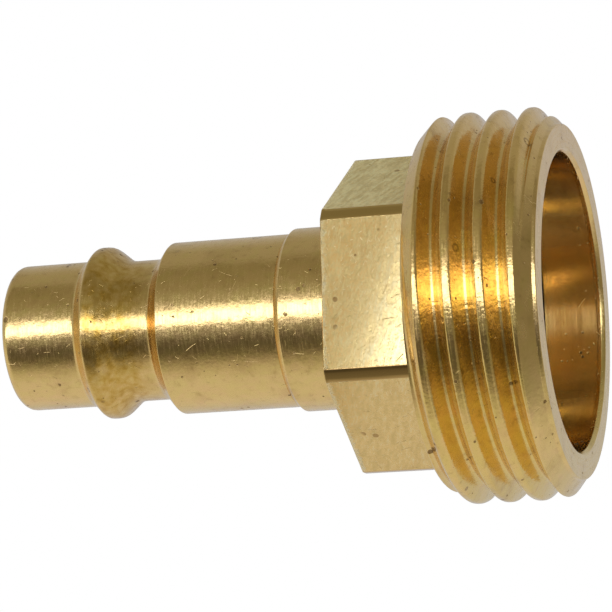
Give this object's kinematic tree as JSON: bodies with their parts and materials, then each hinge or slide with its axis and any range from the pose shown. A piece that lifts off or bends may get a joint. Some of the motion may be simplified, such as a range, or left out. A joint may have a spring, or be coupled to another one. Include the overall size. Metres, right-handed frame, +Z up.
{
  "type": "water pressure regulator",
  "caption": "Inline brass water pressure regulator: quick-connect plug inlet, spanner hexagon and male hose-thread outlet, with a spring-loaded piston inside.",
  "frame": {"origin": "on the axis, halfway between the inlet face of the plug and the outlet face of the body, which is the centre of the bounding box", "axes": "+X along the axis in the direction of flow, from the inlet plug towards the hose-thread outlet; +Z up, square to two flats of the hexagon"},
  "size_m": [0.04, 0.027, 0.027],
  "materials": {
    "brass": "turned, satin",
    "piston_brass": "fine turned, bright",
    "stainless": "fine satin",
    "spring_steel": "drawn wire, satin",
    "sintered_bronze": "porous, matt",
    "rubber": "moulded, satin",
    "acetal": "turned, satin",
    "ptfe": "waxy, matt"
  },
  "bodies": {
    "housing": {"inlet_plug": "brass", "regulator_body": "brass", "strainer_frame": "brass", "strainer_screen": "stainless", "strainer_snap_ring": "spring_steel", "nozzle_seat": "stainless", "nozzle_o_ring": "rubber", "stem_seal": "rubber", "seal_backup_washer": "ptfe", "guide_bush": "acetal", "plug_o_ring": "rubber", "spring_washer": "stainless", "pressure_shim": "stainless", "main_spring": "spring_steel", "stop_washer": "stainless", "retaining_ring": "spring_steel", "vent_filter": "sintered_bronze"},
    "piston_unit": {"piston": "piston_brass", "seat_disc": "rubber", "piston_backup_ring": "ptfe", "piston_o_ring": "rubber"}
  },
  "joints": [
    {"name": "piston_slide", "type": "slide", "parent": "housing", "child": "piston_unit", "axis": [-1, 0, 0], "range_m": [0, 0.001], "deforming": ["main_spring"]}
  ]
}
